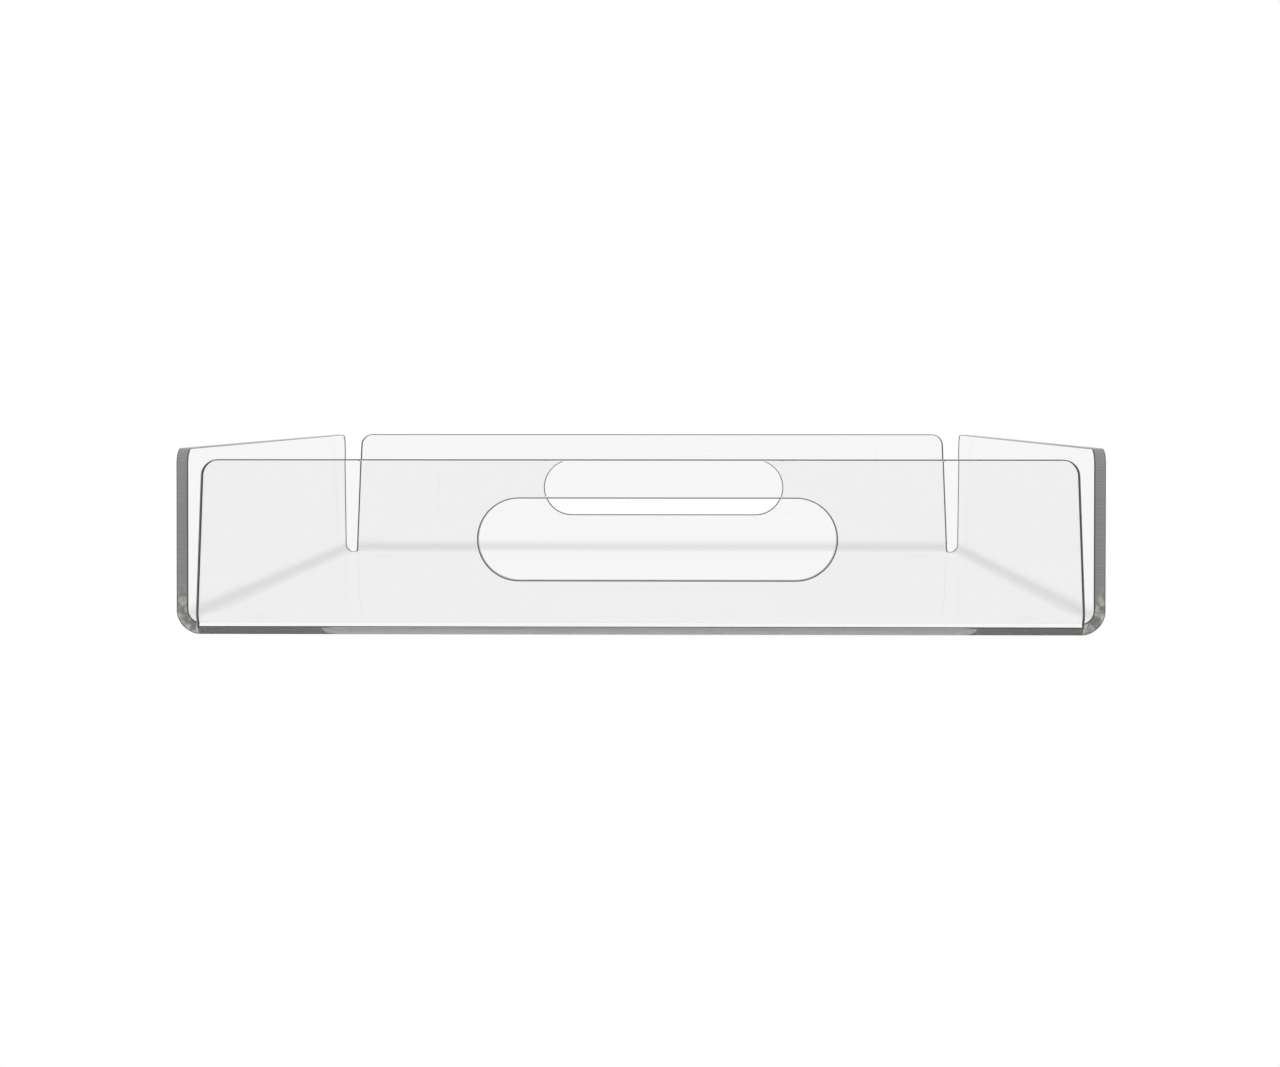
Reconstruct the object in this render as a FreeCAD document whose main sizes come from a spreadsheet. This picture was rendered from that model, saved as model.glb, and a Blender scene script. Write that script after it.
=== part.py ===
import FreeCAD, Part
import math
import os
import Sketcher

# Letter tray: one sheet of clear acrylic, heated along four lines and folded up into four
# walls, standing on four clear bumper feet.
#
# Frame: millimetres, +Z up. The origin is on the desk under the middle of the tray. The short
# walls are the front (-Y) and the back (+Y), each with a hand-hold; the long walls are the sides.

doc = FreeCAD.newDocument("letter_tray")

# ---------------------------------------------------------------------------------------------
# Driving dimensions: alias, value, what it is
# ---------------------------------------------------------------------------------------------
DIMENSIONS = [
    ("tray_width", 254.0, "outer face to outer face of the side walls"),
    ("tray_depth", 304.8, "outer face to outer face of the front and back walls"),
    ("side_height", 50.8, "top of the side walls above the underside of the floor"),
    ("back_height", 50.8, "top of the back wall above the underside of the floor"),
    ("front_height", 48.0, "top of the front wall above the underside of the floor"),
    ("sheet_thickness", 3.2, "acrylic sheet"),
    ("bend_radius", 6.5, "outside radius of the four folds"),
    ("wall_setback", 6.8, "outer face of one wall to the cut edge of its neighbour"),
    ("edge_taper", 2.65, "degrees that the upright cut edges lean in towards the top"),
    ("corner_radius", 4.6, "rounded top corners of the walls"),
    ("relief_radius", 3.4, "round end of the notch where two walls part"),
    ("hold_length", 96.8, "hand-hold, end to end"),
    ("hold_opening", 22.1, "hand-hold, top to bottom"),
    ("hold_drop", 21.6, "middle of the hand-hold below the top of its wall"),
    ("hold_offset", 4.9, "middle of the hand-holds towards +X from the middle of the tray"),
    ("foot_diameter", 8.0, "bumper foot"),
    ("foot_height", 1.6, "bumper foot"),
    ("foot_edge_radius", 0.7, "rounded rim of the bumper foot"),
    ("foot_margin", 9.5, "flat floor left between a fold and a foot"),
    ("cut_margin", 1.0, "how far a cut runs past the face that it opens"),
]
size = {alias: value for alias, value, _ in DIMENSIONS}

sheet = doc.addObject("Spreadsheet::Sheet", "Sizes")
for row, (alias, value, note) in enumerate(DIMENSIONS, start=1):
    sheet.set(f"A{row}", alias)
    sheet.set(f"B{row}", str(value))
    sheet.set(f"C{row}", note)
    sheet.setAlias(f"B{row}", alias)
doc.recompute()

# ---------------------------------------------------------------------------------------------
# Helpers
# ---------------------------------------------------------------------------------------------
START, END, CENTRE = 1, 2, 3          # a sketch element's named points
ORIGIN_POINT = (-1, START)            # the sketch's own origin
QUARTER = math.pi / 2
LEVEL_TOLERANCE = 1e-4


def new_body(label):
    """A sub-part: its label is the name of its file."""
    body = doc.addObject("PartDesign::Body", label)
    body.Label = label
    return body


def new_sketch(body, name, role, offset=None):
    """A sketch on one of the body's own origin planes, moved along its normal if asked."""
    sketch = body.newObject("Sketcher::SketchObject", name)
    plane = next(item for item in body.Origin.OriginFeatures if item.Role == role)
    sketch.AttachmentSupport = [(plane, "")]
    sketch.MapMode = "FlatFace"
    if offset:
        sketch.setExpression("AttachmentOffset.Base.z", offset)
    return sketch


def line(sketch, start, end):
    return sketch.addGeometry(Part.LineSegment(FreeCAD.Vector(*start, 0), FreeCAD.Vector(*end, 0)))


def arc(sketch, centre, radius, first, last):
    """An arc that runs anticlockwise from the angle first to the angle last."""
    circle = Part.Circle(FreeCAD.Vector(*centre, 0), FreeCAD.Vector(0, 0, 1), radius)
    return sketch.addGeometry(Part.ArcOfCircle(circle, first, last))


def tie(sketch, kind, *where):
    sketch.addConstraint(Sketcher.Constraint(kind, *where))


def chain(sketch, elements):
    """Join each line's end to the next one's start."""
    for first, second in zip(elements, elements[1:]):
        tie(sketch, "Coincident", first, END, second, START)


def drive(sketch, name, kind, where, value, expression):
    """A measured constraint that takes its value from the sheet."""
    index = sketch.addConstraint(Sketcher.Constraint(kind, *where, value))
    sketch.renameConstraint(index, name)
    sketch.setExpression(f"Constraints.{name}", expression)


def drive_from_origin(sketch, name, kind, point, sign, value, expression):
    """A distance from the sketch's origin to a point on its positive or negative side."""
    where = (*ORIGIN_POINT, *point) if sign > 0 else (*point, *ORIGIN_POINT)
    drive(sketch, name, kind, where, value, expression)


def cut(body, name, sketch, reverse, depth=None):
    """A pocket that must take material away. With no depth it goes through everything."""
    doc.recompute()
    before = body.Shape.Volume
    pocket = body.newObject("PartDesign::Pocket", name)
    pocket.Profile = sketch
    pocket.Reversed = reverse
    if depth:
        pocket.Type = "Length"
        pocket.setExpression("Length", depth)
    else:
        pocket.Type = "ThroughAll"
    doc.recompute()
    if not body.Shape.Volume < before:
        raise RuntimeError(f"{name} cuts nothing")
    return pocket


def round_level_edges(body, name, feature, level, radius):
    """Round every edge of the feature that lies flat at one height."""
    edges = [
        f"Edge{index}"
        for index, edge in enumerate(feature.Shape.Edges, start=1)
        if all(abs(vertex.Point.z - level) < LEVEL_TOLERANCE for vertex in edge.Vertexes)
    ]
    fillet = body.newObject("PartDesign::Fillet", name)
    fillet.Base = (feature, edges)
    fillet.setExpression("Radius", radius)
    doc.recompute()
    return fillet


# ---------------------------------------------------------------------------------------------
# Outlines
# ---------------------------------------------------------------------------------------------
def rectangle(sketch, width, width_text, depth, depth_text):
    """A rectangle centred on the sketch's origin."""
    x, y = width / 2, depth / 2
    low = line(sketch, (-x, -y), (x, -y))
    right = line(sketch, (x, -y), (x, y))
    high = line(sketch, (x, y), (-x, y))
    left = line(sketch, (-x, y), (-x, -y))
    chain(sketch, (low, right, high, left, low))
    for level in (low, high):
        tie(sketch, "Horizontal", level)
    for upright in (right, left):
        tie(sketch, "Vertical", upright)
    tie(sketch, "Symmetric", low, START, high, START, *ORIGIN_POINT)
    drive(sketch, "width", "DistanceX", (low, START, low, END), width, width_text)
    drive(sketch, "depth", "DistanceY", (right, START, right, END), depth, depth_text)


def wall_surround(sketch, half_base, half_base_text, height, height_text):
    """What is cut away around a wall: an arch whose inside is the wall's own outline.

    The wall's upright edges start where the fold ends, lean in by the taper and turn into its
    level top through the round corners.
    """
    radius = size["corner_radius"]
    foot = size["bend_radius"]
    lean = math.radians(size["edge_taper"])
    margin = size["cut_margin"]
    # a corner's centre is one radius below the top and one radius in from the leaning edge
    centre_up = height - radius
    centre_out = half_base - (centre_up - foot) * math.tan(lean) - radius / math.cos(lean)
    touch_out = centre_out + radius * math.cos(lean)
    touch_up = centre_up + radius * math.sin(lean)
    far = half_base + size["wall_setback"] + margin
    above = block_height + margin

    right_edge = line(sketch, (half_base, foot), (touch_out, touch_up))
    right_round = arc(sketch, (centre_out, centre_up), radius, lean, QUARTER)
    top = line(sketch, (centre_out, height), (-centre_out, height))
    left_round = arc(sketch, (-centre_out, centre_up), radius, QUARTER, math.pi - lean)
    left_edge = line(sketch, (-touch_out, touch_up), (-half_base, foot))
    left_step = line(sketch, (-half_base, foot), (-far, foot))
    left_far = line(sketch, (-far, foot), (-far, above))
    over = line(sketch, (-far, above), (far, above))
    right_far = line(sketch, (far, above), (far, foot))
    right_step = line(sketch, (far, foot), (half_base, foot))

    tie(sketch, "Tangent", right_edge, END, right_round, START)
    tie(sketch, "Tangent", right_round, END, top, START)
    tie(sketch, "Tangent", top, END, left_round, START)
    tie(sketch, "Tangent", left_round, END, left_edge, START)
    chain(sketch, (left_edge, left_step, left_far, over, right_far, right_step, right_edge))
    for level in (top, left_step, over, right_step):
        tie(sketch, "Horizontal", level)
    for upright in (left_far, right_far):
        tie(sketch, "Vertical", upright)
    tie(sketch, "Equal", right_round, left_round)

    far_text = f"{half_base_text} + Sizes.wall_setback + Sizes.cut_margin"
    for hand, side, edge, base, outer in [
        (1, "right", right_edge, START, right_far),
        (-1, "left", left_edge, END, left_far),
    ]:
        drive_from_origin(sketch, f"{side}_base", "DistanceX", (edge, base), hand, half_base,
                          half_base_text)
        drive_from_origin(sketch, f"{side}_foot", "DistanceY", (edge, base), 1, foot,
                          "Sizes.bend_radius")
        drive_from_origin(sketch, f"{side}_far", "DistanceX", (outer, START), hand, far, far_text)
    drive(sketch, "right_lean", "Angle", (right_edge,), QUARTER + lean,
          "90 deg + Sizes.edge_taper * 1 deg")
    drive(sketch, "left_lean", "Angle", (left_edge,), -QUARTER - lean,
          "-90 deg - Sizes.edge_taper * 1 deg")
    drive(sketch, "corner", "Radius", (right_round,), radius, "Sizes.corner_radius")
    drive_from_origin(sketch, "top", "DistanceY", (top, START), 1, height, height_text)
    drive_from_origin(sketch, "above", "DistanceY", (over, START), 1, above,
                      f"{BLOCK_HEIGHT} + Sizes.cut_margin")


def obround(sketch, height, height_text):
    """The hand-hold: a slot with half-round ends, level, a set way below the top of its wall."""
    radius = size["hold_opening"] / 2
    middle = size["hold_offset"]
    reach = size["hold_length"] / 2 - radius
    level = height - size["hold_drop"]

    left_end = arc(sketch, (middle - reach, level), radius, QUARTER, 3 * QUARTER)
    right_end = arc(sketch, (middle + reach, level), radius, -QUARTER, QUARTER)
    below = line(sketch, (middle - reach, level - radius), (middle + reach, level - radius))
    above = line(sketch, (middle + reach, level + radius), (middle - reach, level + radius))
    tie(sketch, "Tangent", below, START, left_end, END)
    tie(sketch, "Tangent", below, END, right_end, START)
    tie(sketch, "Tangent", above, START, right_end, END)
    tie(sketch, "Tangent", above, END, left_end, START)
    tie(sketch, "Horizontal", below)

    reach_text = "(Sizes.hold_length - Sizes.hold_opening) / 2"
    drive(sketch, "end_radius", "Radius", (left_end,), radius, "Sizes.hold_opening / 2")
    drive_from_origin(sketch, "right_end", "DistanceX", (right_end, CENTRE), 1, reach + middle,
                      f"{reach_text} + Sizes.hold_offset")
    drive_from_origin(sketch, "left_end", "DistanceX", (left_end, CENTRE), -1, reach - middle,
                      f"{reach_text} - Sizes.hold_offset")
    drive_from_origin(sketch, "level", "DistanceY", (left_end, CENTRE), 1, level,
                      f"{height_text} - Sizes.hold_drop")


def notch(sketch, across, along):
    """One corner notch in plan: a square that opens outwards, its inner corner rounded.

    across and along are the signs of the corner's X and Y.
    """
    name = f"{'right' if across > 0 else 'left'}_{'back' if along > 0 else 'front'}"
    radius = size["relief_radius"]
    near_x = size["tray_width"] / 2 - size["wall_setback"]
    near_y = size["tray_depth"] / 2 - size["wall_setback"]
    far_x = size["tray_width"] / 2 + size["cut_margin"]
    far_y = size["tray_depth"] / 2 + size["cut_margin"]

    def corner(x, y):
        return (across * x, along * y)

    # the arc faces the middle of the tray, and runs anticlockwise whatever the corner
    middle_angle = math.atan2(-along, -across)
    inner = arc(sketch, corner(near_x + radius, near_y + radius), radius,
                middle_angle - QUARTER / 2, middle_angle + QUARTER / 2)
    upright_end, level_end = (START, END) if across * along > 0 else (END, START)
    level_edge = line(sketch, corner(near_x + radius, near_y), corner(far_x, near_y))
    outer_edge = line(sketch, corner(far_x, near_y), corner(far_x, far_y))
    end_edge = line(sketch, corner(far_x, far_y), corner(near_x, far_y))
    upright_edge = line(sketch, corner(near_x, far_y), corner(near_x, near_y + radius))

    tie(sketch, "Tangent", level_edge, START, inner, level_end)
    tie(sketch, "Tangent", upright_edge, END, inner, upright_end)
    chain(sketch, (level_edge, outer_edge, end_edge, upright_edge))
    for level in (level_edge, end_edge):
        tie(sketch, "Horizontal", level)
    for upright in (outer_edge, upright_edge):
        tie(sketch, "Vertical", upright)

    drive(sketch, f"{name}_round", "Radius", (inner,), radius, "Sizes.relief_radius")
    drive_from_origin(sketch, f"{name}_near_x", "DistanceX", (upright_edge, START), across,
                      near_x, "Sizes.tray_width / 2 - Sizes.wall_setback")
    drive_from_origin(sketch, f"{name}_near_y", "DistanceY", (level_edge, END), along,
                      near_y, "Sizes.tray_depth / 2 - Sizes.wall_setback")
    drive_from_origin(sketch, f"{name}_far_x", "DistanceX", (outer_edge, END), across,
                      far_x, "Sizes.tray_width / 2 + Sizes.cut_margin")
    drive_from_origin(sketch, f"{name}_far_y", "DistanceY", (outer_edge, END), along,
                      far_y, "Sizes.tray_depth / 2 + Sizes.cut_margin")


# ---------------------------------------------------------------------------------------------
# The folded sheet
# ---------------------------------------------------------------------------------------------
BLOCK_HEIGHT = "max(Sizes.side_height; Sizes.back_height; Sizes.front_height)"
block_height = max(size["side_height"], size["back_height"], size["front_height"])

# wall, the plane it lies along, its outer face on that plane's normal, the cut's direction
# reversed or not, the length that it spans, its height, and whether it has a hand-hold
WALLS = [
    ("Front", "XZ_Plane", 1, False, "tray_depth", "tray_width", "front_height", True),
    ("Back", "XZ_Plane", -1, True, "tray_depth", "tray_width", "back_height", True),
    ("Right", "YZ_Plane", 1, False, "tray_width", "tray_depth", "side_height", False),
    ("Left", "YZ_Plane", -1, True, "tray_width", "tray_depth", "side_height", False),
]


def fold_sheet(shell):
    """A square-cornered pan of even thickness, folded along all four sides."""
    outside = new_sketch(shell, "OutsidePlan", "XY_Plane")
    rectangle(outside, size["tray_width"], "Sizes.tray_width",
              size["tray_depth"], "Sizes.tray_depth")
    block = shell.newObject("PartDesign::Pad", "Block")
    block.Profile = outside
    block.setExpression("Length", BLOCK_HEIGHT)

    thickness = size["sheet_thickness"]
    inside = new_sketch(shell, "InsidePlan", "XY_Plane", "Sizes.sheet_thickness")
    rectangle(inside, size["tray_width"] - 2 * thickness,
              "Sizes.tray_width - 2 * Sizes.sheet_thickness",
              size["tray_depth"] - 2 * thickness,
              "Sizes.tray_depth - 2 * Sizes.sheet_thickness")
    hollow = cut(shell, "Inside", inside, reverse=True)

    # the inside first: a large outside fold alone would reach the square inside corner
    folds = round_level_edges(shell, "InsideFolds", hollow, thickness,
                              "Sizes.bend_radius - Sizes.sheet_thickness")
    round_level_edges(shell, "OutsideFolds", folds, 0, "Sizes.bend_radius")


def make_tray_shell():
    """The folded acrylic sheet: floor, four walls, four notches, two hand-holds."""
    shell = new_body("tray_shell")
    fold_sheet(shell)

    notches = new_sketch(shell, "NotchPlan", "XY_Plane", "-Sizes.cut_margin")
    for across in (1, -1):
        for along in (1, -1):
            notch(notches, across, along)
    cut(shell, "Notches", notches, reverse=True)

    # each wall is trimmed from just outside it, no deeper than the wall itself
    through_wall = "Sizes.sheet_thickness + 2 * Sizes.cut_margin"
    for name, role, normal, reverse, gap, span, height, has_hold in WALLS:
        offset = f"{normal} * (Sizes.{gap} / 2 + Sizes.cut_margin)"
        surround = new_sketch(shell, f"{name}WallOutline", role, offset)
        wall_surround(surround, size[span] / 2 - size["wall_setback"],
                      f"Sizes.{span} / 2 - Sizes.wall_setback", size[height], f"Sizes.{height}")
        cut(shell, f"{name}WallTrim", surround, reverse, through_wall)
        if has_hold:
            slot = new_sketch(shell, f"{name}HoldOutline", role, offset)
            obround(slot, size[height], f"Sizes.{height}")
            cut(shell, f"{name}Hold", slot, reverse, through_wall)

    shell.setExpression("Placement.Base.z", "Sizes.foot_height")
    return shell


# ---------------------------------------------------------------------------------------------
# The feet
# ---------------------------------------------------------------------------------------------
def make_foot(label, across, along):
    """A clear polyurethane bumper stuck under one corner of the floor, its lower rim rounded."""
    foot = new_body(label)
    disc = new_sketch(foot, "Disc", "XY_Plane")
    radius = size["foot_diameter"] / 2
    circle = Part.Circle(FreeCAD.Vector(0, 0, 0), FreeCAD.Vector(0, 0, 1), radius)
    ring = disc.addGeometry(circle)
    tie(disc, "Coincident", ring, CENTRE, *ORIGIN_POINT)
    drive(disc, "rim", "Radius", (ring,), radius, "Sizes.foot_diameter / 2")
    pad = foot.newObject("PartDesign::Pad", "Thickness")
    pad.Profile = disc
    pad.setExpression("Length", "Sizes.foot_height")
    doc.recompute()
    round_level_edges(foot, "LowerRim", pad, 0, "Sizes.foot_edge_radius")

    inset = "(Sizes.bend_radius + Sizes.foot_margin + Sizes.foot_diameter / 2)"
    foot.setExpression("Placement.Base.x", f"{across} * (Sizes.tray_width / 2 - {inset})")
    foot.setExpression("Placement.Base.y", f"{along} * (Sizes.tray_depth / 2 - {inset})")
    return foot


parts = [make_tray_shell()]
for end, along in (("front", -1), ("back", 1)):
    for side, across in (("left", -1), ("right", 1)):
        parts.append(make_foot(f"foot_{end}_{side}", across, along))

# ---------------------------------------------------------------------------------------------
# Check and write
# ---------------------------------------------------------------------------------------------
doc.recompute()
for item in doc.Objects:
    if "Invalid" in item.State or "Error" in item.State:
        raise RuntimeError(f"{item.Label} failed: {item.State}")
for part in parts:
    shape = part.Shape
    if shape.isNull() or not shape.isValid() or len(shape.Solids) != 1:
        raise RuntimeError(f"{part.Label} isn't one valid solid")

os.makedirs("parts", exist_ok=True)
for part in parts:
    part.Shape.exportStep(f"parts/{part.Label}.step")
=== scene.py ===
import math
from itertools import accumulate

import bmesh
import bpy
from mathutils import Euler, Matrix, Vector
from mathutils.geometry import delaunay_2d_cdt


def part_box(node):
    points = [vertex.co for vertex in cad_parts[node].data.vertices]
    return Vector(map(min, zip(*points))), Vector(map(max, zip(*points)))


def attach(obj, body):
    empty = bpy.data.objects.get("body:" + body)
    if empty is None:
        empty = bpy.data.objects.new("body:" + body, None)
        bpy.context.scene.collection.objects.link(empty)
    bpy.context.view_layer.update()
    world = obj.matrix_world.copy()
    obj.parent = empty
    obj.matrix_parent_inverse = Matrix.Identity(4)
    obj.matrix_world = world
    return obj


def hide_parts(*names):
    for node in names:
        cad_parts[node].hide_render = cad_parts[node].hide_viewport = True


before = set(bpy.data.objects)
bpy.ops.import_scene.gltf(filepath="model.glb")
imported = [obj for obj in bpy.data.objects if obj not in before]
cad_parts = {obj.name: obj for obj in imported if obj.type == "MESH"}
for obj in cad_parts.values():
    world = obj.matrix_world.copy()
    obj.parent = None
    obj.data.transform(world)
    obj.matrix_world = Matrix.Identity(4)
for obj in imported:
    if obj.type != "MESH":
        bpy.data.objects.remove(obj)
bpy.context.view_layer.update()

bl_info = {
    "name": "Letter Tray",
    "version": (1, 0, 0),
    "blender": (4, 5, 0),
    "location": "View3D > Sidebar > Letter Tray",
    "description": "Clear letter tray folded from one acrylic sheet, its bumper feet and a stage",
    "category": "Add Mesh",
}

SHELL_NODE = "tray_shell"
FOOT_NODES = ("foot_front_left", "foot_front_right", "foot_back_left", "foot_back_right")
BODY = "root"
# Mesh attribute that carries the painted shade along the folds: a darker tint painted into the
# sheet where it curves.
FOLD_PAINTED_SHADE = "fold_painted_shade"
EDGE_MAP = "cut_edge"

SHELL_LOW, SHELL_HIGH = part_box(SHELL_NODE)
FOOT_LOW, FOOT_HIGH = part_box(FOOT_NODES[0])
MM = 0.001


def linear(hex_colour):
    """An sRGB hex colour such as #9AA0A0 as linear red, green and blue."""
    channels = [int(hex_colour[i:i + 2], 16) / 255 for i in (1, 3, 5)]
    return tuple(c / 12.92 if c <= 0.04045 else ((c + 0.055) / 1.055) ** 2.4 for c in channels)


# ---------------------------------------------------------------------------------------------
# Properties
# ---------------------------------------------------------------------------------------------
def length_prop(name, description, default):
    """A length in metres, shown in the scene's units."""
    return bpy.props.FloatProperty(name=name, description=description, default=default,
                                   min=0.0, precision=5, unit="LENGTH")


def angle_prop(name, description, default):
    """An angle in radians, shown in degrees."""
    return bpy.props.FloatProperty(name=name, description=description, default=default,
                                   subtype="ANGLE")


def colour_prop(name, description, default):
    """A colour, its default given as sRGB hex."""
    return bpy.props.FloatVectorProperty(name=name, description=description,
                                         default=linear(default), subtype="COLOR",
                                         min=0.0, max=1.0)


class TraySizes(bpy.types.PropertyGroup):
    """The sheet's sizes. The overall ones come from the frame."""

    width: length_prop("Width", "Outer face to outer face of the side walls",
                       SHELL_HIGH.x - SHELL_LOW.x)
    depth: length_prop("Depth", "Outer face to outer face of the end walls",
                       SHELL_HIGH.y - SHELL_LOW.y)
    side_height: length_prop("Side height", "Top of the side walls above the floor's underside",
                             SHELL_HIGH.z - SHELL_LOW.z)
    back_height: length_prop("Back height", "Top of the back wall above the floor's underside",
                             SHELL_HIGH.z - SHELL_LOW.z)
    front_height: length_prop("Front height", "Top of the front wall above the floor's underside",
                              48.0 * MM)
    sheet: length_prop("Sheet", "Thickness of the acrylic sheet", 3.2 * MM)
    fold_radius: length_prop("Fold radius", "Outside radius of the folds", 6.5 * MM)
    setback: length_prop("Setback", "Outer face of a wall to its neighbour's cut edge", 6.8 * MM)
    taper: angle_prop("Taper", "Lean of the walls' upright edges", math.radians(2.65))
    corner_radius: length_prop("Corner radius", "Round top corners of the walls", 4.6 * MM)
    relief_radius: length_prop("Relief radius", "Round end of the corner notches, on the blank",
                               3.7 * MM)
    hold_length: length_prop("Hold length", "Hand-hold, end to end", 96.8 * MM)
    hold_opening: length_prop("Hold opening", "Hand-hold, top to bottom", 22.1 * MM)
    hold_drop: length_prop("Hold drop", "Middle of the hand-hold below its wall's top",
                           21.6 * MM)
    hold_offset: length_prop("Hold offset", "Middle of the hand-holds to the right", 4.9 * MM)
    arris: length_prop("Arris", "Radius left on a cut edge by flame polishing", 0.3 * MM)


class TrayFinish(bpy.types.PropertyGroup):
    """What the acrylic and the bumpers look like."""

    tint: colour_prop("Tint", "Light let through by one face of the sheet", "#FBFBFB")
    # Fold tint: painted shade, a darker tint painted along each fold in place of the shading that
    # the curved sheet shows.
    fold_painted_shade_tint: colour_prop("Fold tint", "Light let through in the middle of a fold", "#E5E6E5")
    sheen: bpy.props.FloatProperty(
        name="Sheen", description="Most that a face mirrors of what is around it",
        default=0.03, min=0.0, max=1.0)
    depth_colour: colour_prop("Depth colour", "What a long way through the acrylic turns to",
                              "#BCBEBB")
    depth_density: bpy.props.FloatProperty(
        name="Depth density", description="How fast light fades inside the acrylic, per metre",
        default=2.0, min=0.0)
    # Cut edge colours: the streaks and patches are the edge's own grooves and melt, but their grey
    # level is painted shade for the darkness that light through the clear edge shows. The inner
    # edge's grey is painted shade as well.
    groove_and_shade_dark: colour_prop("Groove dark", "Darkest streaks of a cut edge", "#787877")
    groove_and_shade_light: colour_prop("Groove light", "Lightest streaks of a cut edge", "#9B9B99")
    melt_and_shade_dark: colour_prop("Melt dark", "Darkest patches near a fold", "#7B7C7A")
    melt_and_shade_light: colour_prop("Melt light", "Lightest patches near a fold", "#B7B9AE")
    inner_edge_shade: colour_prop("Inner edge", "A cut edge seen from inside the sheet", "#9A9C98")
    # Arris colours: painted shade, the dark outline painted onto the rounded corner, from outside
    # and from inside.
    arris_painted_shade: colour_prop("Arris colour", "The thin line that a rounded corner draws",
                              "#5C5E5D")
    inner_arris_painted_shade: colour_prop("Inner arris", "The same line seen from inside the sheet",
                             "#5C5E5D")
    bumper_tint: colour_prop("Bumper tint", "Light let through by a bumper foot", "#FEFEFE")


class TrayStage(bpy.types.PropertyGroup):
    """The desk, the light and where the camera stands."""

    desk_colour: colour_prop("Desk colour", "Plain desk under the tray", "#FFFFFF")
    light: bpy.props.FloatProperty(
        name="Light", description="Brightness of the desk and of the room around it",
        default=1.0, min=0.0)
    camera_distance: length_prop("Camera distance", "Camera to the front wall", 588.5 * MM)
    camera_height: length_prop("Camera height", "Camera above the floor's underside", 62.5 * MM)
    camera_aside: length_prop("Camera aside", "Camera to the right of the middle", 9.8 * MM)
    camera_turn: angle_prop("Camera turn", "Camera turned to the left", 0.01624)
    camera_dip: angle_prop("Camera dip", "Camera pointed down", 0.05846)
    camera_roll: angle_prop("Camera roll", "Camera rolled about its view", 0.00014)
    focal_length: bpy.props.FloatProperty(
        name="Focal length", description="On a 36 mm wide sensor", default=61.5,
        unit="CAMERA")


# ---------------------------------------------------------------------------------------------
# Nodes
# ---------------------------------------------------------------------------------------------
def add_node(tree, kind, inputs=None, links=None, **settings):
    """Add a node, set its properties and sockets, and link other sockets into it."""
    node = tree.nodes.new(kind)
    for name, value in settings.items():
        setattr(node, name, value)
    for socket, value in (inputs or {}).items():
        node.inputs[socket].default_value = value
    for socket, source in (links or {}).items():
        tree.links.new(source, node.inputs[socket])
    return node


def mix_colours(tree, share, first, second):
    """Mix two colours, each a plain colour or a socket. Returns the mixed colour's socket."""
    node = add_node(tree, "ShaderNodeMix", data_type="RGBA")
    tree.links.new(share, node.inputs["Factor"])
    sockets = [socket for socket in node.inputs if socket.type == "RGBA"]
    for socket, colour in zip(sockets, (first, second)):
        if isinstance(colour, bpy.types.NodeSocket):
            tree.links.new(colour, socket)
        else:
            socket.default_value = (*colour, 1.0)
    return next(socket for socket in node.outputs if socket.type == "RGBA")


def new_material(name):
    """An empty node material and its tree."""
    material = bpy.data.materials.new(name)
    material.use_nodes = True
    material.node_tree.nodes.clear()
    return material, material.node_tree


def two_sided(tree, outside, inside):
    """One shader on the side that a surface's faces point to, another on their back."""
    side = add_node(tree, "ShaderNodeNewGeometry")
    surface = add_node(tree, "ShaderNodeMixShader", links={
        0: side.outputs["Backfacing"],
        1: outside.outputs[0],
        2: inside.outputs[0],
    })
    add_node(tree, "ShaderNodeOutputMaterial", links={"Surface": surface.outputs["Shader"]})


# ---------------------------------------------------------------------------------------------
# Materials
# ---------------------------------------------------------------------------------------------
ACRYLIC_IOR = 1.49
BUMPER_IOR = 1.47
WHITE = (1.0, 1.0, 1.0, 1.0)
# Where the Fresnel node gives more than this, light inside the sheet can't leave it.
HELD_IN = 0.999

# The cut edge's pattern: streaks this far apart, which hardly change across the sheet.
GROOVE_PITCH = 0.35 * MM
GROOVE_CHANGES_PER_METRE = 60.0
# Melted patches: their size, and how much of the noise lies between dark and light.
PATCH_SIZE = 3.0 * MM
PATCH_DARK, PATCH_LIGHT = 0.42, 0.58
# Heights above the desk between which the melted patches take over from the streaks.
MELT_STARTS = 15.0 * MM
MELT_FULL = 9.0 * MM


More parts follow.
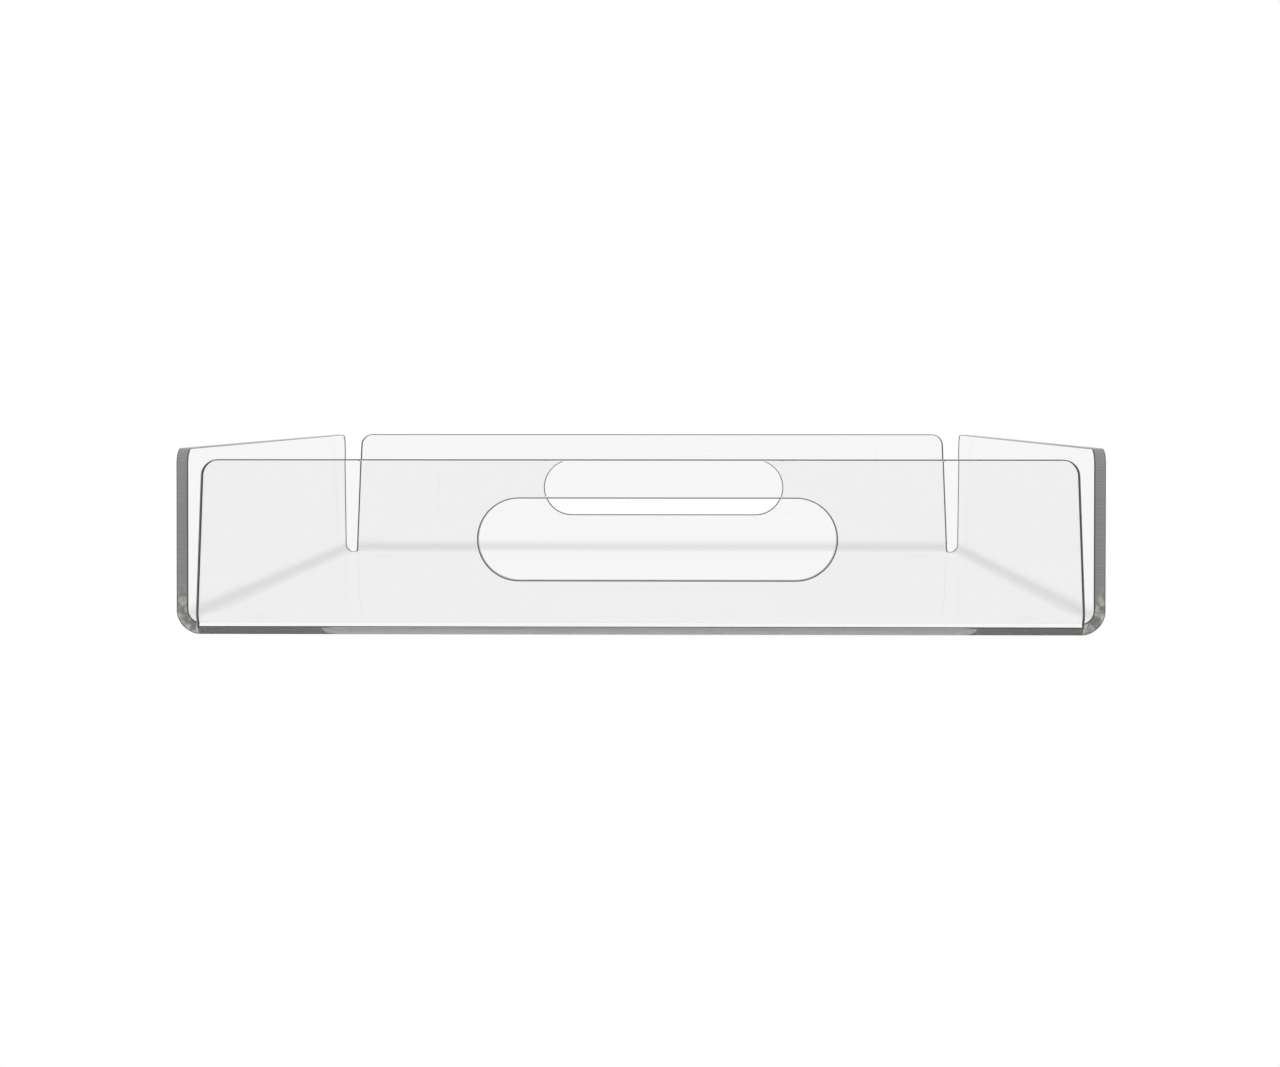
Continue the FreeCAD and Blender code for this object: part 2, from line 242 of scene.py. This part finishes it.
def cast_acrylic(finish):
    """Cast acrylic sheet, line-bent: clear, glossy faces.

    Each face bends what is seen through it and holds back a little light. Along the folds the
    inner face is given a darker tint, painted shade for the shading of the curved sheet. Light
    that meets a face from inside at too shallow an angle stays in the sheet, which draws the
    dark strips along the folds. The faces mirror no more than a trace, so that what stands
    behind them shows evenly.
    """
    material, tree = new_material("cast_acrylic_line_bent")
    fold = add_node(tree, "ShaderNodeAttribute", attribute_name=FOLD_PAINTED_SHADE)
    side = add_node(tree, "ShaderNodeNewGeometry")
    painted_shade_share = add_node(tree, "ShaderNodeMath", links={
        0: fold.outputs["Fac"],
        1: side.outputs["Backfacing"],
    }, operation="SUBTRACT", use_clamp=True)
    # The tint darkens along the folds: painted shade for the curved sheet's shading.
    tint = mix_colours(tree, painted_shade_share.outputs["Value"], finish.tint, finish.fold_painted_shade_tint)
    through = add_node(tree, "ShaderNodeBsdfRefraction", {
        "Roughness": 0.0,
        "IOR": ACRYLIC_IOR,
    }, {"Color": tint})
    sheen = add_node(tree, "ShaderNodeBsdfGlossy", {"Color": WHITE, "Roughness": 0.0})
    fresnel = add_node(tree, "ShaderNodeFresnel", {"IOR": ACRYLIC_IOR})
    held_in = add_node(tree, "ShaderNodeMath", {1: HELD_IN}, {0: fresnel.outputs["Fac"]},
                       operation="GREATER_THAN")
    trace = add_node(tree, "ShaderNodeMath", {1: finish.sheen}, {0: fresnel.outputs["Fac"]},
                     operation="MINIMUM")
    mirrored = add_node(tree, "ShaderNodeMath", links={
        0: held_in.outputs["Value"],
        1: trace.outputs["Value"],
    }, operation="MAXIMUM")
    surface = add_node(tree, "ShaderNodeMixShader", links={
        0: mirrored.outputs["Value"],
        1: through.outputs["BSDF"],
        2: sheen.outputs["BSDF"],
    })
    depth = add_node(tree, "ShaderNodeVolumeAbsorption", {
        "Color": (*finish.depth_colour, 1.0),
        "Density": finish.depth_density,
    })
    add_node(tree, "ShaderNodeOutputMaterial", links={
        "Surface": surface.outputs["Shader"],
        "Volume": depth.outputs["Volume"],
    })
    return material


def cut_acrylic(finish):
    """Laser-cut acrylic edge, lightly flame-polished.

    The beam leaves fine grooves square to the sheet. They scatter what comes along inside the
    sheet; the even grey of a cut edge is painted into its colour as painted shade, from outside
    and from inside. Near the folds the bending heat has melted the grooves into paler, mottled
    patches.
    """
    material, tree = new_material("cast_acrylic_laser_cut_edge")
    place = add_node(tree, "ShaderNodeUVMap", uv_map=EDGE_MAP)
    grooves_at = add_node(tree, "ShaderNodeMapping",
                          {"Scale": (1 / GROOVE_PITCH, GROOVE_CHANGES_PER_METRE, 1.0)},
                          {"Vector": place.outputs["UV"]})
    grooves = add_node(tree, "ShaderNodeTexNoise", {"Scale": 1.0, "Detail": 3.0},
                       {"Vector": grooves_at.outputs["Vector"]}, noise_dimensions="2D")
    # The grooves' streaks, over a grey that is painted shade.
    streaks_and_painted_shade = mix_colours(tree, grooves.outputs["Fac"], finish.groove_and_shade_dark, finish.groove_and_shade_light)
    mottle = add_node(tree, "ShaderNodeTexNoise", {"Scale": 1 / PATCH_SIZE, "Detail": 3.0},
                      {"Vector": place.outputs["UV"]}, noise_dimensions="2D")
    patches = add_node(tree, "ShaderNodeMapRange",
                       {"From Min": PATCH_DARK, "From Max": PATCH_LIGHT},
                       {"Value": mottle.outputs["Fac"]})
    melted_and_painted_shade = mix_colours(tree, patches.outputs["Result"], finish.melt_and_shade_dark, finish.melt_and_shade_light)
    space = add_node(tree, "ShaderNodeTexCoord")
    height = add_node(tree, "ShaderNodeSeparateXYZ", links={"Vector": space.outputs["Object"]})
    heated = add_node(tree, "ShaderNodeMapRange",
                      {"From Min": MELT_STARTS, "From Max": MELT_FULL},
                      {"Value": height.outputs["Z"]})
    colour = mix_colours(tree, heated.outputs["Result"], streaks_and_painted_shade, melted_and_painted_shade)
    outside = add_node(tree, "ShaderNodeBsdfPrincipled", {
        "Roughness": 0.3,
        "IOR": ACRYLIC_IOR,
        "Specular IOR Level": 0.25,
    }, {"Base Color": colour})
    # Seen from inside the sheet the edge is a translucent grey: painted shade.
    inside = add_node(tree, "ShaderNodeBsdfTranslucent", {"Color": (*finish.inner_edge_shade, 1.0)})
    two_sided(tree, outside, inside)
    return material


def polished_arris(finish):
    """The corner between a face and a cut edge, melted round by the flame.

    It is too tightly curved to see through, so it draws every outline as a thin dark line. That
    line is painted into its colour as painted shade, outside and inside.
    """
    material, tree = new_material("cast_acrylic_flame_polished_arris")
    # The dark colour is painted shade for the outline that the curve draws.
    outside = add_node(tree, "ShaderNodeBsdfPrincipled", {
        "Base Color": (*finish.arris_painted_shade, 1.0),
        "Roughness": 0.2,
        "IOR": ACRYLIC_IOR,
        "Specular IOR Level": 0.25,
    })
    inside = add_node(tree, "ShaderNodeBsdfTranslucent", {"Color": (*finish.inner_arris_painted_shade, 1.0)})
    two_sided(tree, outside, inside)
    return material


def clear_polyurethane(finish):
    """Soft clear polyurethane bumper, moulded: almost lost against the clear sheet."""
    material, tree = new_material("clear_polyurethane_moulded")
    through = add_node(tree, "ShaderNodeBsdfTransparent", {"Color": (*finish.bumper_tint, 1.0)})
    sheen = add_node(tree, "ShaderNodeBsdfGlossy", {"Color": WHITE, "Roughness": 0.2})
    fresnel = add_node(tree, "ShaderNodeFresnel", {"IOR": BUMPER_IOR})
    trace = add_node(tree, "ShaderNodeMath", {1: finish.sheen}, {0: fresnel.outputs["Fac"]},
                     operation="MINIMUM")
    surface = add_node(tree, "ShaderNodeMixShader", links={
        0: trace.outputs["Value"],
        1: through.outputs["BSDF"],
        2: sheen.outputs["BSDF"],
    })
    add_node(tree, "ShaderNodeOutputMaterial", links={"Surface": surface.outputs["Shader"]})
    return material


def opal_light_table(stage):
    """Opal acrylic light table, lit from inside.

    Its even white is what the sheet's tints and dark edges show up against. From below it can
    be seen through, so that the tray's underside shows.
    """
    material, tree = new_material("opal_acrylic_light_table")
    lit = add_node(tree, "ShaderNodeEmission", {
        "Color": (*stage.desk_colour, 1.0),
        "Strength": stage.light,
    })
    two_sided(tree, lit, add_node(tree, "ShaderNodeBsdfTransparent"))
    return material


# ---------------------------------------------------------------------------------------------
# The folded sheet
# ---------------------------------------------------------------------------------------------
# The painted shade along a fold, which stands in for the shading of the curved sheet, is wider
# than the fold. It is strongest this far past the flat floor's end, and fades up the wall and
# down towards the floor.
FOLD_SHADE_MIDDLE = 5.8 * MM
FOLD_SHADE_ABOVE = 4.2 * MM
FOLD_SHADE_BELOW = 6.8 * MM
# How finely the curves are divided.
FOLD_STEPS = 24
CORNER_STEPS = 14
HOLD_STEPS = 40
RELIEF_STEPS = 16
ARRIS_STEPS = 5
# A narrow strip beside each arris and each fold, which keeps the flat faces' shading flat.
SUPPORT = 0.25 * MM
SAME_POINT = 0.5e-6
# Least cosine of half a corner's turn that an inset still follows.
MITRE_LIMIT = 0.5
FACE_SLOT, CUT_SLOT, ARRIS_SLOT = range(3)
RIGHT, BACK, LEFT, FRONT = range(4)


def arc(centre, radius, first, last, steps):
    """Points on an arc from one angle to another, both ends included."""
    angles = (first + (last - first) * i / steps for i in range(steps + 1))
    return [Vector((centre[0] + radius * math.cos(a), centre[1] + radius * math.sin(a)))
            for a in angles]


def pairs(loop):
    """Each point of a closed loop with the next one."""
    return zip(loop, loop[1:] + loop[:1])


def running_length(points):
    """The length of a row of points up to each of them."""
    return [0.0, *accumulate(map(math.dist, points, points[1:]))]


def inset(loop, distance):
    """The closed loop moved into the sheet, which lies on its left."""
    moved = []
    for before, point, after in zip(loop[-1:] + loop[:-1], loop, loop[1:] + loop[:1]):
        incoming = (point - before).normalized()
        outgoing = (after - point).normalized()
        along = (incoming + outgoing).normalized()
        stretch = 1 / max(along.dot(outgoing), MITRE_LIMIT)
        moved.append(point + Vector((-along.y, along.x)) * distance * stretch)
    return moved


def crossings(loop, lines):
    """For each edge of the loop, the fractions of it where it starts and meets a fold line."""
    found = []
    for start, end in pairs(loop):
        fractions = {0.0}
        for axis in (0, 1):
            step = end[axis] - start[axis]
            if abs(step) > SAME_POINT:
                hits = ((value - start[axis]) / step for value in lines[axis])
                margin = SAME_POINT / abs(step)
                fractions.update(f for f in hits if margin < f < 1 - margin)
        found.append(sorted(fractions))
    return found


def divided(loop, cuts):
    """The closed loop with a point at each of the fractions given for its edges."""
    return [start.lerp(end, fraction)
            for (start, end), fractions in zip(pairs(loop), cuts)
            for fraction in fractions]


def encloses(loop, point):
    """Whether a point lies inside a closed loop."""
    within = False
    for start, end in pairs(loop):
        if (start.y > point.y) != (end.y > point.y):
            across = start.x + (point.y - start.y) / (end.y - start.y) * (end.x - start.x)
            if point.x < across:
                within = not within
    return within


class FoldedSheet:
    """The flat blank and how it folds up.

    A point of the blank is (across, along), measured from the middle of the tray's floor. A
    point of a wall is (aside, past): aside runs along its fold, and past starts where the flat
    floor ends and crosses the fold into the wall.
    """

    def __init__(self, sizes, underside):
        self.sizes = sizes
        self.underside = underside
        self.middle_radius = sizes.fold_radius - sizes.sheet / 2
        self.fold_length = self.middle_radius * math.pi / 2
        self.flat = (sizes.width / 2 - sizes.fold_radius, sizes.depth / 2 - sizes.fold_radius)
        reach = (sizes.fold_radius - sizes.setback) / self.middle_radius
        self.notch_past = self.middle_radius * math.asin(reach)

    def wall_to_blank(self, wall, aside, past):
        """A point of a wall as a point of the blank. Each wall is a quarter turn further on."""
        out = self.flat[wall % 2] + past
        return Vector(((out, aside), (-aside, out), (-out, -aside), (aside, -out))[wall])

    def half_base(self, wall):
        """Half of a wall's length along its fold."""
        return self.flat[1 - wall % 2] + self.notch_past

    def past_at(self, height):
        """How far past the flat floor a height above the underside lies on a wall."""
        return self.fold_length + height - self.sizes.fold_radius

    def outline(self):
        """The blank's outer edge, anticlockwise: up, over and down each wall, then a notch."""
        sizes = self.sizes
        lean = sizes.taper
        radius = sizes.corner_radius
        relief = sizes.relief_radius
        heights = {RIGHT: sizes.side_height, BACK: sizes.back_height,
                   LEFT: sizes.side_height, FRONT: sizes.front_height}
        points = []
        for wall, height in heights.items():
            half = self.half_base(wall)
            centre_past = self.past_at(height) - radius
            rise = centre_past - self.fold_length
            centre_aside = half - rise * math.tan(lean) - radius / math.cos(lean)
            edge = [Vector((-half, self.fold_length))]
            edge += arc((-centre_aside, centre_past), radius, math.pi - lean, math.pi / 2,
                        CORNER_STEPS)
            edge += arc((centre_aside, centre_past), radius, math.pi / 2, lean, CORNER_STEPS)
            edge.append(Vector((half, self.fold_length)))
            edge += arc((half + relief, self.notch_past + relief), relief, math.pi,
                        1.5 * math.pi, RELIEF_STEPS)
            points += [self.wall_to_blank(wall, p.x, p.y) for p in edge]
        return points

    def hold(self, wall, height, offset):
        """A hand-hold's edge, the other way round, so that the sheet lies on its left too."""
        sizes = self.sizes
        radius = sizes.hold_opening / 2
        reach = sizes.hold_length / 2 - radius
        past = self.past_at(height - sizes.hold_drop)
        points = arc((offset + reach, past), radius, -math.pi / 2, math.pi / 2, HOLD_STEPS)
        points += arc((offset - reach, past), radius, math.pi / 2, 1.5 * math.pi, HOLD_STEPS)
        return [self.wall_to_blank(wall, p.x, p.y) for p in points]

    def fold_lines(self):
        """Where the blank is divided, across and along, so that it can turn at the folds."""
        steps = [self.fold_length * i / FOLD_STEPS for i in range(FOLD_STEPS + 1)]
        around = [SUPPORT, FOLD_SHADE_BELOW / 8, FOLD_SHADE_BELOW / 4, FOLD_SHADE_BELOW / 2]
        steps = [-step for step in around] + steps + [self.fold_length + step for step in around]
        return [[sign * (flat + step) for sign in (1, -1) for step in steps]
                for flat in self.flat]

    def turn(self, distance, flat):
        """Where one coordinate of the blank goes, out and up, and how far the sheet has turned."""
        beyond = max(abs(distance) - flat, 0.0)
        angle = min(beyond / self.middle_radius, math.pi / 2)
        straight = max(beyond - self.fold_length, 0.0)
        out = min(abs(distance), flat) + self.middle_radius * math.sin(angle)
        up = self.middle_radius * (1 - math.cos(angle)) + straight
        return math.copysign(out, distance), up, math.copysign(angle, distance)

    def place(self, point, above):
        """The folded position of a blank point, this far above the middle of the sheet."""
        x, up_x, turn_x = self.turn(point.x, self.flat[0])
        y, up_y, turn_y = self.turn(point.y, self.flat[1])
        up = up_x + up_y
        share_x = up_x / up if up else 0.0
        share_y = up_y / up if up else 0.0
        normal = Vector((
            -share_x * math.sin(turn_x) * math.cos(turn_y),
            -share_y * math.sin(turn_y) * math.cos(turn_x),
            math.cos(turn_x) * math.cos(turn_y),
        )).normalized()
        middle = Vector((x, y, self.underside + self.sizes.sheet / 2 + up))
        return middle + normal * above

    def painted_fold_shade(self, point):
        """How strong the painted shade along a fold is at a blank point, from 0 to 1."""
        share = 0.0
        for distance, flat in zip(point, self.flat):
            beyond = abs(distance) - flat - FOLD_SHADE_MIDDLE
            reach = FOLD_SHADE_ABOVE if beyond > 0 else FOLD_SHADE_BELOW
            share = max(share, math.cos(math.pi / 2 * min(abs(beyond) / reach, 1.0)) ** 2)
        return share

    def edge_profile(self):
        """The cut edge in section, top face to bottom face: how far in, how far up."""
        half = self.sizes.sheet / 2
        radius = self.sizes.arris
        quarter = [math.pi / 2 * i / ARRIS_STEPS for i in range(ARRIS_STEPS + 1)]
        upper = [(radius * (1 - math.sin(a)), half - radius * (1 - math.cos(a))) for a in quarter]
        lower = [(into, -up) for into, up in reversed(upper)]
        return [(radius + SUPPORT, half)] + upper + lower + [(radius + SUPPORT, -half)]


def add_vert(bm, sheet, point, above):
    """A folded vertex. Only those of the upper, inner face carry the painted fold shade."""
    vert = bm.verts.new(sheet.place(point, above))
    vert[bm.verts.layers.float[FOLD_PAINTED_SHADE]] = sheet.painted_fold_shade(point) if above > 0 else 0.0
    return vert


def add_cut_edge(bm, sheet, loop, lines):
    """Skin a cut edge from face to face. Returns the rim where the flat faces take over."""
    edge_map = bm.loops.layers.uv[EDGE_MAP]
    profile = sheet.edge_profile()
    cuts = crossings(inset(loop, profile[0][0]), lines)
    rings = [divided(inset(loop, into), cuts) for into, _ in profile]
    rows = [[add_vert(bm, sheet, point, above) for point in ring]
            for ring, (_, above) in zip(rings, profile)]
    along = running_length(rings[0] + rings[0][:1])
    across = running_length(profile)
    corner_slots = [ARRIS_SLOT] * ARRIS_STEPS
    slots = [FACE_SLOT, *corner_slots, CUT_SLOT, *corner_slots, FACE_SLOT]
    for row, (upper, lower, slot) in enumerate(zip(rows, rows[1:], slots)):
        for column, ((a, b), (c, d)) in enumerate(zip(pairs(upper), pairs(lower))):
            face = bm.faces.new((c, d, b, a))
            face.material_index = slot
            for corner, (u, v) in zip(face.loops, ((0, 1), (1, 1), (1, 0), (0, 0))):
                corner[edge_map].uv = (along[column + u], across[row + v])
    return rings[0]


def add_faces(bm, sheet, rims, lines):
    """Fill both faces of the sheet between its rims, divided along the fold lines."""
    points = [point for rim in rims for point in rim]
    edges = []
    for rim in rims:
        start = len(edges)
        edges += [(start + i, start + (i + 1) % len(rim)) for i in range(len(rim))]
    reach = max(max(abs(p.x), abs(p.y)) for p in points) + sheet.sizes.sheet
    for axis, values in enumerate(lines):
        for value in values:
            for end in (-reach, reach):
                points.append(Vector((value, end) if axis == 0 else (end, value)))
            edges.append((len(points) - 2, len(points) - 1))
    blank, _, faces, *_ = delaunay_2d_cdt(points, edges, [], 0, SAME_POINT)

    def in_sheet(face):
        middle = sum((blank[i] for i in face), Vector((0, 0))) / len(face)
        return encloses(rims[0], middle) and not any(encloses(rim, middle) for rim in rims[1:])

    faces = [face for face in faces if in_sheet(face)]
    half = sheet.sizes.sheet / 2
    for above, flip in ((half, False), (-half, True)):
        verts = {i: add_vert(bm, sheet, blank[i], above)
                 for i in {i for face in faces for i in face}}
        for face in faces:
            corners = [verts[i] for i in face]
            bm.faces.new(reversed(corners) if flip else corners)


def finished_mesh(bm, name):
    """Close the seams, shade the faces smooth and turn the working mesh into a real one."""
    bmesh.ops.remove_doubles(bm, verts=bm.verts, dist=SAME_POINT * 2)
    for face in bm.faces:
        face.smooth = True
    mesh = bpy.data.meshes.new(name)
    bm.to_mesh(mesh)
    bm.free()
    return mesh


def build_sheet(sheet):
    """The folded sheet as one closed mesh."""
    sizes = sheet.sizes
    lines = sheet.fold_lines()
    loops = [
        sheet.outline(),
        sheet.hold(FRONT, sizes.front_height, sizes.hold_offset),
        sheet.hold(BACK, sizes.back_height, -sizes.hold_offset),
    ]
    bm = bmesh.new()
    bm.verts.layers.float.new(FOLD_PAINTED_SHADE)
    bm.loops.layers.uv.new(EDGE_MAP)
    rims = [add_cut_edge(bm, sheet, loop, lines) for loop in loops]
    add_faces(bm, sheet, rims, lines)
    return finished_mesh(bm, "tray_sheet")


class LETTERTRAY_OT_build_shell(bpy.types.Operator):
    """Build the folded acrylic sheet with rounded cut edges."""

    bl_idname = "letter_tray.build_shell"
    bl_label = "Build Tray Shell"

    def execute(self, context):
        mesh = build_sheet(FoldedSheet(context.scene.tray_sizes, SHELL_LOW.z))
        for make_material in (cast_acrylic, cut_acrylic, polished_arris):
            mesh.materials.append(make_material(context.scene.tray_finish))
        piece = bpy.data.objects.new("folded_sheet", mesh)
        context.collection.objects.link(piece)
        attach(piece, BODY)
        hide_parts(SHELL_NODE)
        return {"FINISHED"}


# ---------------------------------------------------------------------------------------------
# The feet
# ---------------------------------------------------------------------------------------------
FOOT_TURNS = 48
FOOT_RIM = 0.7 * MM
RIM_STEPS = 6
# A foot stops this far short of the sheet, so that two clear faces don't lie in one plane.
FOOT_FILM = 0.02 * MM
SHARP_ANGLE = math.radians(50)


def build_foot(radius, height, rim):
    """A moulded bumper turned about its own axis, standing on z = 0."""
    lower = arc((radius - rim, rim), rim, -math.pi / 2, 0.0, RIM_STEPS)
    profile = [Vector((0.0, 0.0))] + lower + [Vector((radius, height)), Vector((0.0, height))]
    bm = bmesh.new()
    verts = [bm.verts.new((p.x, 0.0, p.y)) for p in profile]
    edges = [bm.edges.new(pair) for pair in zip(verts, verts[1:])]
    bmesh.ops.spin(bm, geom=verts + edges, axis=(0, 0, 1), cent=(0, 0, 0), angle=2 * math.pi,
                   steps=FOOT_TURNS)
    bmesh.ops.remove_doubles(bm, verts=bm.verts, dist=SAME_POINT * 2)
    bmesh.ops.recalc_face_normals(bm, faces=bm.faces)
    mesh = finished_mesh(bm, "bumper")
    mesh.set_sharp_from_angle(angle=SHARP_ANGLE)
    return mesh


class LETTERTRAY_OT_build_feet(bpy.types.Operator):
    """Build the four clear bumper feet."""

    bl_idname = "letter_tray.build_feet"
    bl_label = "Build Bumper Feet"

    def execute(self, context):
        radius = (FOOT_HIGH.x - FOOT_LOW.x) / 2
        mesh = build_foot(radius, FOOT_HIGH.z - FOOT_LOW.z - FOOT_FILM, FOOT_RIM)
        mesh.materials.append(clear_polyurethane(context.scene.tray_finish))
        for node in FOOT_NODES:
            low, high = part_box(node)
            piece = bpy.data.objects.new(f"bumper_{node}", mesh)
            piece.location = ((low.x + high.x) / 2, (low.y + high.y) / 2, low.z)
            context.collection.objects.link(piece)
            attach(piece, BODY)
            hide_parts(node)
        return {"FINISHED"}


# ---------------------------------------------------------------------------------------------
# The stage
# ---------------------------------------------------------------------------------------------
# Half of the desk's width, in metres: far enough to reach past the edge of every view.
DESK_REACH = 6.0
SENSOR_WIDTH = 36.0
CLIP_START = 0.01
# Light goes far inside the sheet before it comes out at an edge.
BOUNCES = 64


def build_desk(stage):
    """A plain square desk at z = 0."""
    mesh = bpy.data.meshes.new("desk")
    bm = bmesh.new()
    bmesh.ops.create_grid(bm, x_segments=1, y_segments=1, size=DESK_REACH)
    bm.to_mesh(mesh)
    bm.free()
    mesh.materials.append(opal_light_table(stage))
    return bpy.data.objects.new("desk", mesh)


def build_room(stage):
    """Soft white light from all around."""
    world = bpy.data.worlds.new("soft_room")
    world.use_nodes = True
    tree = world.node_tree
    tree.nodes.clear()
    light = add_node(tree, "ShaderNodeBackground", {"Color": WHITE, "Strength": stage.light})
    add_node(tree, "ShaderNodeOutputWorld", links={"Surface": light.outputs["Background"]})
    return world


def build_camera(stage):
    """The camera in front of the tray, a little above it and pointed slightly down."""
    camera = bpy.data.cameras.new("camera")
    camera.lens = stage.focal_length
    camera.sensor_width = SENSOR_WIDTH
    camera.clip_start = CLIP_START
    viewer = bpy.data.objects.new("camera", camera)
    viewer.location = (
        stage.camera_aside,
        SHELL_LOW.y - stage.camera_distance,
        SHELL_LOW.z + stage.camera_height,
    )
    aim = Euler((math.pi / 2 - stage.camera_dip, 0.0, stage.camera_turn)).to_matrix()
    viewer.rotation_euler = (aim @ Matrix.Rotation(stage.camera_roll, 3, "Z")).to_euler()
    return viewer


class LETTERTRAY_OT_set_stage(bpy.types.Operator):
    """Lay the desk, light it softly and set up the camera."""

    bl_idname = "letter_tray.set_stage"
    bl_label = "Set Stage"

    def execute(self, context):
        scene = context.scene
        stage = scene.tray_stage
        desk = build_desk(stage)
        context.collection.objects.link(desk)
        scene.world = build_room(stage)
        scene.camera = build_camera(stage)
        context.collection.objects.link(scene.camera)
        scene.view_settings.view_transform = "Standard"
        scene.cycles.max_bounces = BOUNCES
        scene.cycles.transmission_bounces = BOUNCES
        scene.cycles.glossy_bounces = BOUNCES
        return {"FINISHED"}


class LETTERTRAY_PT_panel(bpy.types.Panel):
    """The tray's sizes, finish and stage."""

    bl_idname = "LETTERTRAY_PT_panel"
    bl_label = "Letter Tray"
    bl_space_type = "VIEW_3D"
    bl_region_type = "UI"
    bl_category = "Letter Tray"

    def draw(self, context):
        for name in GROUPS:
            group = getattr(context.scene, name)
            box = self.layout.box()
            for prop in group.bl_rna.properties.keys():
                if prop not in ("rna_type", "name"):
                    box.prop(group, prop)
        for operator in OPERATORS:
            self.layout.operator(operator.bl_idname)


GROUPS = {"tray_sizes": TraySizes, "tray_finish": TrayFinish, "tray_stage": TrayStage}
OPERATORS = (LETTERTRAY_OT_build_shell, LETTERTRAY_OT_build_feet, LETTERTRAY_OT_set_stage)
CLASSES = (*GROUPS.values(), *OPERATORS, LETTERTRAY_PT_panel)


def register():
    for cls in CLASSES:
        bpy.utils.register_class(cls)
    for name, group in GROUPS.items():
        setattr(bpy.types.Scene, name, bpy.props.PointerProperty(type=group))


def unregister():
    for name in GROUPS:
        delattr(bpy.types.Scene, name)
    for cls in reversed(CLASSES):
        bpy.utils.unregister_class(cls)


def main():
    register()
    bpy.ops.letter_tray.build_shell()
    bpy.ops.letter_tray.build_feet()
    bpy.ops.letter_tray.set_stage()


if __name__ == "__main__":
    main()
